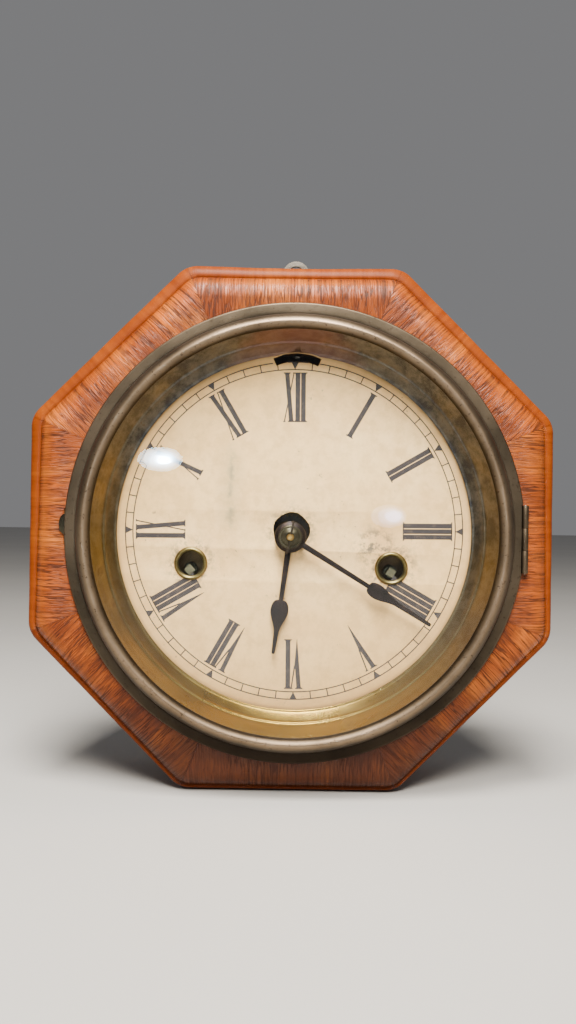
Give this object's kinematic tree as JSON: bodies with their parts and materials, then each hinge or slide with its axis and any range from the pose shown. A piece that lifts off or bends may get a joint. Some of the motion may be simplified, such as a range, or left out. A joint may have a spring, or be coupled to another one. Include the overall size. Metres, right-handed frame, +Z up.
{
  "type": "octagon wall clock",
  "caption": "Octagonal wooden wall clock with a hinged round brass bezel, Roman dial, spring-driven time and strike movement, lever escapement and hanging loop.",
  "frame": {"origin": "on the wall plane, at the middle of the octagonal back board", "axes": "+X to the right and +Z up as the dial is read; the clock faces -Y and its back lies in the XZ plane"},
  "size_m": [0.236, 0.083, 0.2526],
  "materials": {
    "wood_veneer": "polished, with cross-banded grain",
    "wood_plain": "dull, stained",
    "aged_brass": "dark patina, rubbed bright on the crown",
    "brass": "satin",
    "steel": "satin",
    "blued_steel": "blued, satin",
    "dial": "matt paper on zinc",
    "glass": "clear",
    "bell_metal": "satin",
    "hanger_zinc": "dull plated"
  },
  "bodies": {
    "case": {"frame_rail_right": "wood_veneer", "frame_rail_top_right": "wood_veneer", "frame_rail_top": "wood_veneer", "frame_rail_top_left": "wood_veneer", "frame_rail_left": "wood_veneer", "frame_rail_bottom_left": "wood_veneer", "frame_rail_bottom": "wood_veneer", "frame_rail_bottom_right": "wood_veneer", "back_board": "wood_plain", "case_box": "wood_plain", "dial_board": "wood_plain", "hanger_plate": "hanger_zinc", "dial_plate": "dial", "dial_pan": "brass", "winding_grommet_time": "brass", "winding_grommet_strike": "brass", "hinge_leaf_case": "brass", "hinge_pin": "steel", "catch_keeper": "brass", "plate_back": "brass", "plate_front": "brass", "pillar_1": "steel", "pillar_2": "steel", "pillar_3": "steel", "pillar_4": "steel", "hairspring": "blued_steel", "time_mainspring": "steel", "strike_mainspring": "steel", "bell": "bell_metal", "bell_post": "steel"},
    "bezel": {"bezel_ring": "aged_brass", "glass": "glass", "glass_retainer": "aged_brass", "catch_tab": "aged_brass", "hinge_leaf_bezel": "brass"},
    "minute_arbor": {"centre_wheel": "brass", "minute_hand": "blued_steel", "hand_washer": "brass", "taper_pin": "steel"},
    "hour_pipe": {"hour_wheel": "brass", "hour_hand": "blued_steel"},
    "minute_wheel": {"minute_wheel": "brass"},
    "time_great_wheel": {"time_great_wheel": "brass"},
    "time_click": {"time_click": "steel"},
    "time_winding_arbor": {"time_winding_arbor": "steel"},
    "time_second_wheel": {"time_second_wheel": "brass"},
    "time_third_wheel": {"time_third_wheel": "brass"},
    "time_fourth_wheel": {"time_fourth_wheel": "brass"},
    "escape_wheel": {"escape_wheel": "brass"},
    "lever": {"lever": "steel"},
    "balance": {"balance_wheel": "brass"},
    "regulator": {"regulator": "steel"},
    "strike_great_wheel": {"strike_great_wheel": "brass"},
    "strike_click": {"strike_click": "steel"},
    "strike_winding_arbor": {"strike_winding_arbor": "steel"},
    "strike_second_wheel": {"strike_second_wheel": "brass"},
    "strike_third_wheel": {"strike_third_wheel": "brass"},
    "strike_fourth_wheel": {"strike_fourth_wheel": "brass"},
    "fly": {"fly": "brass"},
    "hammer": {"hammer": "steel"}
  },
  "joints": [
    {"name": "bezel_hinge", "type": "hinge", "parent": "case", "child": "bezel", "pos_m": [0.1029, -0.0709, -0.00365], "axis": [0, 0, 1], "range_deg": [0, 115]},
    {"name": "minute_hand_turn", "type": "hinge", "parent": "case", "child": "minute_arbor", "pos_m": [-0.00025, -0.066, -0.0041], "axis": [0, 1, 0], "continuous": true},
    {"name": "hour_hand_turn", "type": "hinge", "parent": "case", "child": "hour_pipe", "pos_m": [-0.00025, -0.064, -0.0041], "axis": [0, 1, 0], "continuous": true},
    {"name": "minute_wheel_turn", "type": "hinge", "parent": "case", "child": "minute_wheel", "pos_m": [0.00667, -0.052, -0.01398], "axis": [0, 1, 0], "continuous": true},
    {"name": "time_great_turn", "type": "hinge", "parent": "case", "child": "time_great_wheel", "pos_m": [0.0456, -0.029, -0.0198], "axis": [0, 1, 0], "continuous": true},
    {"name": "time_second_turn", "type": "hinge", "parent": "case", "child": "time_second_wheel", "pos_m": [0.02069, -0.029, -0.01598], "axis": [0, 1, 0], "continuous": true},
    {"name": "time_third_turn", "type": "hinge", "parent": "case", "child": "time_third_wheel", "pos_m": [0.00829, -0.036, 0.0107], "axis": [0, 1, 0], "continuous": true},
    {"name": "time_fourth_turn", "type": "hinge", "parent": "case", "child": "time_fourth_wheel", "pos_m": [0.0041, -0.039, 0.02634], "axis": [0, 1, 0], "continuous": true},
    {"name": "escape_turn", "type": "hinge", "parent": "case", "child": "escape_wheel", "pos_m": [0.00166, -0.043, 0.0402], "axis": [0, 1, 0], "continuous": true},
    {"name": "lever_rock", "type": "hinge", "parent": "case", "child": "lever", "pos_m": [0.0017, -0.045, 0.051], "axis": [0, 1, 0], "range_deg": [-6, 6]},
    {"name": "balance_swing", "type": "hinge", "parent": "case", "child": "balance", "pos_m": [0.0018, -0.037, 0.065], "axis": [0, 1, 0], "range_deg": [-220, 220], "stiffness_Nm_per_rad": 0.00005},
    {"name": "regulator_turn", "type": "hinge", "parent": "case", "child": "regulator", "pos_m": [0.0018, -0.051, 0.065], "axis": [0, 1, 0], "range_deg": [-25, 25]},
    {"name": "time_winding_turn", "type": "hinge", "parent": "case", "child": "time_winding_arbor", "pos_m": [0.0456, -0.05, -0.0198], "axis": [0, 1, 0], "continuous": true},
    {"name": "time_click_lift", "type": "hinge", "parent": "time_great_wheel", "child": "time_click", "pos_m": [0.0456, -0.0317, -0.0062], "axis": [0, 1, 0], "range_deg": [0, 20]},
    {"name": "strike_second_turn", "type": "hinge", "parent": "case", "child": "strike_second_wheel", "pos_m": [-0.03377, -0.028, 0.00245], "axis": [0, 1, 0], "continuous": true},
    {"name": "strike_great_turn", "type": "hinge", "parent": "case", "child": "strike_great_wheel", "pos_m": [-0.0456, -0.029, -0.0198], "axis": [0, 1, 0], "continuous": true},
    {"name": "strike_third_turn", "type": "hinge", "parent": "case", "child": "strike_third_wheel", "pos_m": [-0.03517, -0.036, 0.01847], "axis": [0, 1, 0], "continuous": true},
    {"name": "strike_fourth_turn", "type": "hinge", "parent": "case", "child": "strike_fourth_wheel", "pos_m": [-0.02613, -0.039, 0.02925], "axis": [0, 1, 0], "continuous": true},
    {"name": "fly_turn", "type": "hinge", "parent": "case", "child": "fly", "pos_m": [-0.03704, -0.042, 0.03555], "axis": [0, 1, 0], "continuous": true},
    {"name": "strike_winding_turn", "type": "hinge", "parent": "case", "child": "strike_winding_arbor", "pos_m": [-0.0456, -0.05, -0.0198], "axis": [0, 1, 0], "continuous": true},
    {"name": "strike_click_lift", "type": "hinge", "parent": "strike_great_wheel", "child": "strike_click", "pos_m": [-0.0456, -0.0317, -0.0062], "axis": [0, 1, 0], "range_deg": [0, 20]},
    {"name": "hammer_lift", "type": "hinge", "parent": "case", "child": "hammer", "pos_m": [-0.014, -0.02, -0.04], "axis": [0, 1, 0], "range_deg": [0, 18]}
  ],
  "couplings": [
    {"joint": "hour_hand_turn", "follows": "minute_hand_turn", "ratio": 0.083333},
    {"joint": "minute_wheel_turn", "follows": "minute_hand_turn", "ratio": -0.33333},
    {"joint": "time_second_turn", "follows": "minute_hand_turn", "ratio": -0.5},
    {"joint": "time_great_turn", "follows": "minute_hand_turn", "ratio": 0.083333},
    {"joint": "time_third_turn", "follows": "minute_hand_turn", "ratio": -7.5},
    {"joint": "time_fourth_turn", "follows": "minute_hand_turn", "ratio": 60},
    {"joint": "escape_turn", "follows": "minute_hand_turn", "ratio": -360},
    {"joint": "strike_great_turn", "follows": "strike_second_turn", "ratio": -0.16667},
    {"joint": "strike_third_turn", "follows": "strike_second_turn", "ratio": -7},
    {"joint": "strike_fourth_turn", "follows": "strike_second_turn", "ratio": 42},
    {"joint": "fly_turn", "follows": "strike_second_turn", "ratio": -252}
  ]
}
